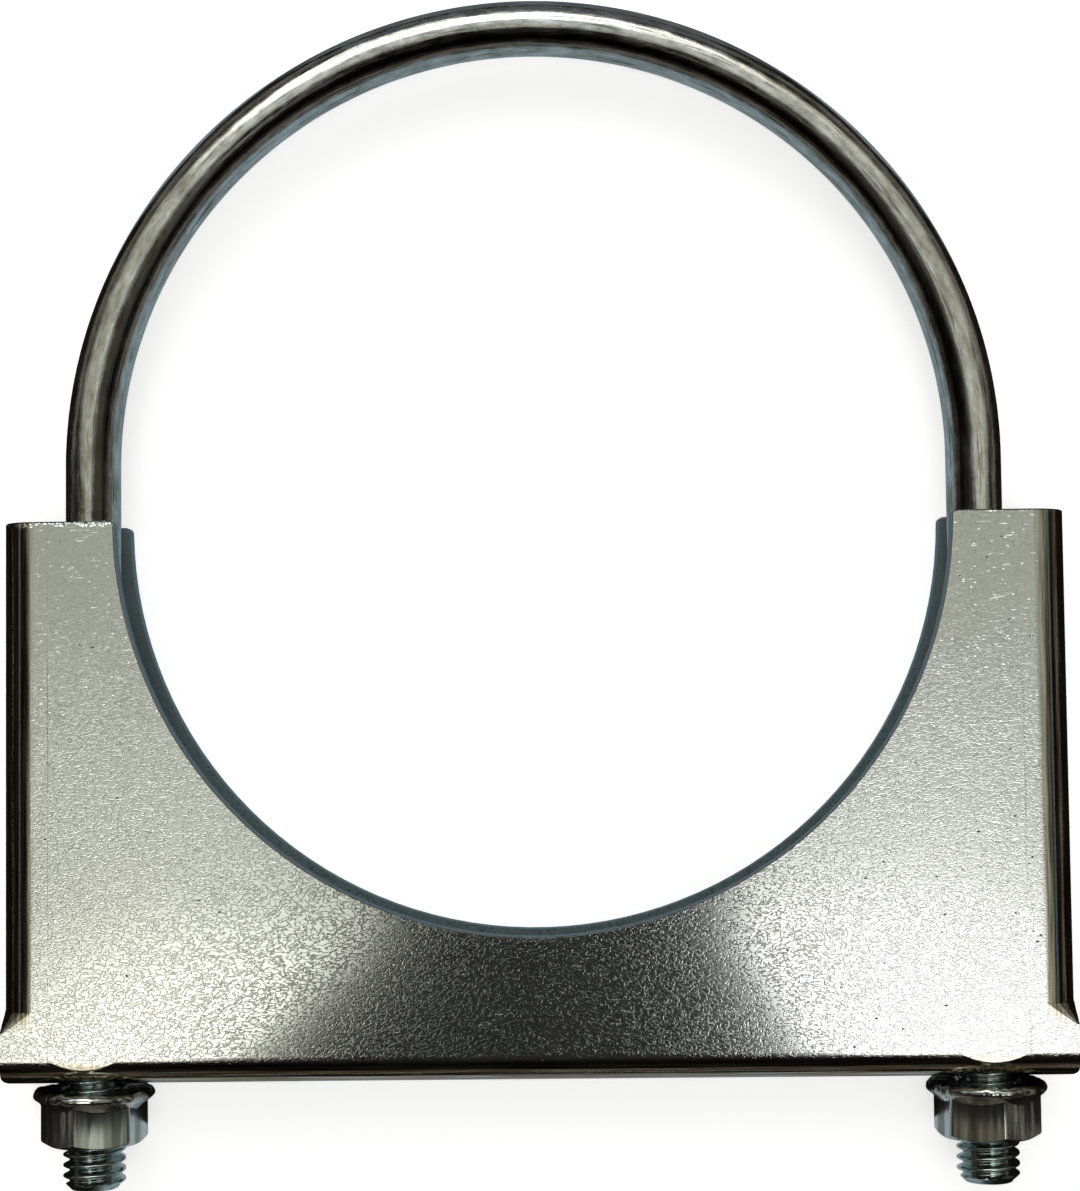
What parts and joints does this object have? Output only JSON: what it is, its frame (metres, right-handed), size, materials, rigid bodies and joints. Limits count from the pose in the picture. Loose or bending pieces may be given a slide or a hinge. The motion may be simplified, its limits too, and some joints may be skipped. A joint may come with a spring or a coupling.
{
  "type": "flat back pipe clamp",
  "caption": "Flat back U-bolt pipe clamp: a rod bent to a half circle with threaded legs, a folded sheet saddle with a half-round pipe seat, and flange nuts that draw them together.",
  "frame": {"origin": "centre of the pipe seat, on the pipe's axis, halfway between the saddle's two webs", "axes": "+Z along the pipe's axis, which is up as the clamp lies on its side; +Y from the seat's centre to the top of the arch; +X to the right with +Y up and +Z towards the viewer"},
  "size_m": [0.162, 0.1831, 0.019],
  "materials": {
    "rod_zinc": "bright zinc plate on drawn rod",
    "sheet_zinc": "dull zinc plate on pressed sheet, speckled",
    "nut_zinc": "dark zinc plate with drawing marks"
  },
  "bodies": {
    "u_bolt": {"u_bolt": "rod_zinc"},
    "saddle": {"saddle": "sheet_zinc"},
    "flange_nut_left": {"flange_nut_left": "nut_zinc"},
    "flange_nut_right": {"flange_nut_right": "nut_zinc"}
  },
  "joints": [
    {"name": "saddle_slide", "type": "slide", "parent": "u_bolt", "child": "saddle", "axis": [0, 1, 0], "range_m": [-0.0065, 0.0094]},
    {"name": "nut_left_spin", "type": "hinge", "parent": "saddle", "child": "flange_nut_left", "pos_m": [-0.06825, -0.0905, 0], "axis": [0, 1, 0], "range_deg": [-1474, 2132]},
    {"name": "nut_right_spin", "type": "hinge", "parent": "saddle", "child": "flange_nut_right", "pos_m": [0.06825, -0.0905, 0], "axis": [0, 1, 0], "range_deg": [-1474, 2132]}
  ],
  "couplings": [
    {"joint": "nut_left_spin", "follows": "saddle_slide", "rad_per_m": 3957.9},
    {"joint": "nut_right_spin", "follows": "saddle_slide", "rad_per_m": 3957.9}
  ]
}
